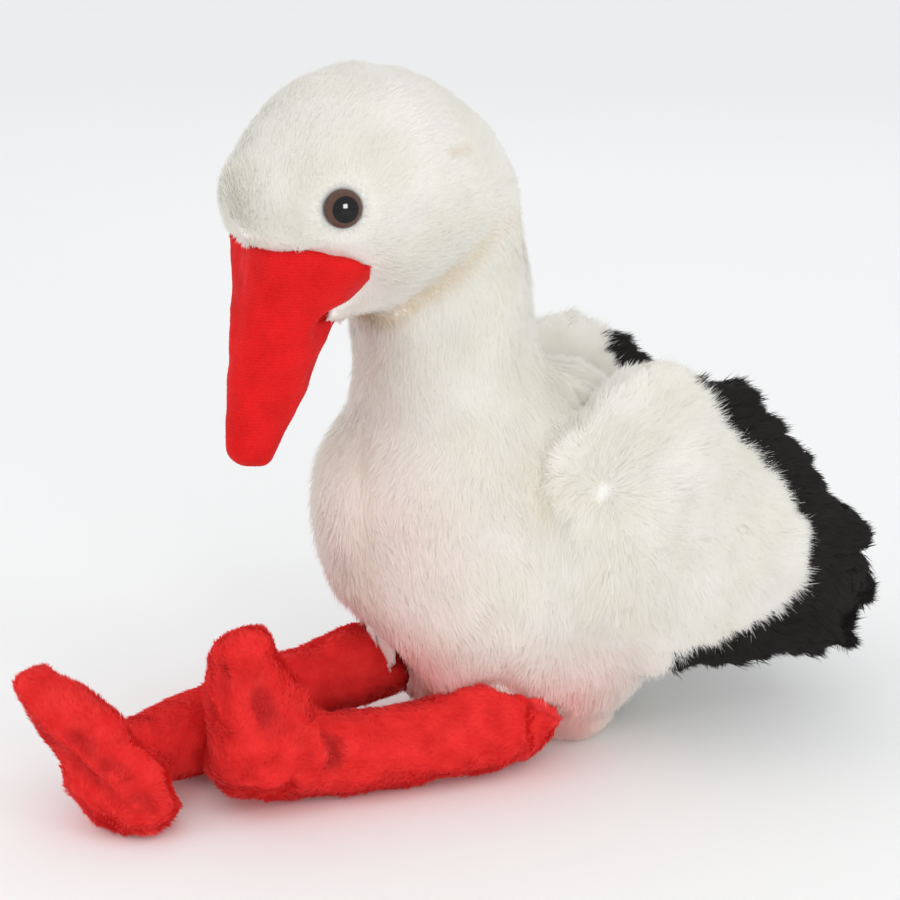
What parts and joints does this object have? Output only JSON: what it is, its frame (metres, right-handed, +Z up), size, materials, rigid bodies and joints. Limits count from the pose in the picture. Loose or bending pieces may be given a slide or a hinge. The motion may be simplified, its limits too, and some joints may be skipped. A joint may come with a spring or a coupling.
{
  "type": "plush toy stork",
  "caption": "Seated plush stork with bowed head, long hanging bill, rounded wings edged in black and soft legs stretched forward.",
  "frame": {"origin": "middle of the small flat under the seat, at floor level", "axes": "+Z up, -Y the way the legs point and the toy faces, +X the toy's own left"},
  "size_m": [0.1106, 0.3051, 0.234],
  "materials": {
    "white_plush": "dense long-pile plush",
    "black_plush": "shaggy long-pile plush",
    "red_plush": "short-pile plush",
    "red_velour": "short ribbed velour",
    "eye_plastic": "polished dome, brown rim round a black pupil"
  },
  "bodies": {
    "root": {"trunk": "white_plush", "neck": "white_plush", "head": "white_plush", "tail": "white_plush", "wing_left": "white_plush", "wing_right": "white_plush", "wing_left_trim": "black_plush", "wing_right_trim": "black_plush", "leg_left": "red_plush", "leg_right": "red_plush", "foot_left": "red_plush", "foot_right": "red_plush", "bill": "red_velour", "eye_left": "eye_plastic", "eye_right": "eye_plastic"}
  },
  "joints": []
}
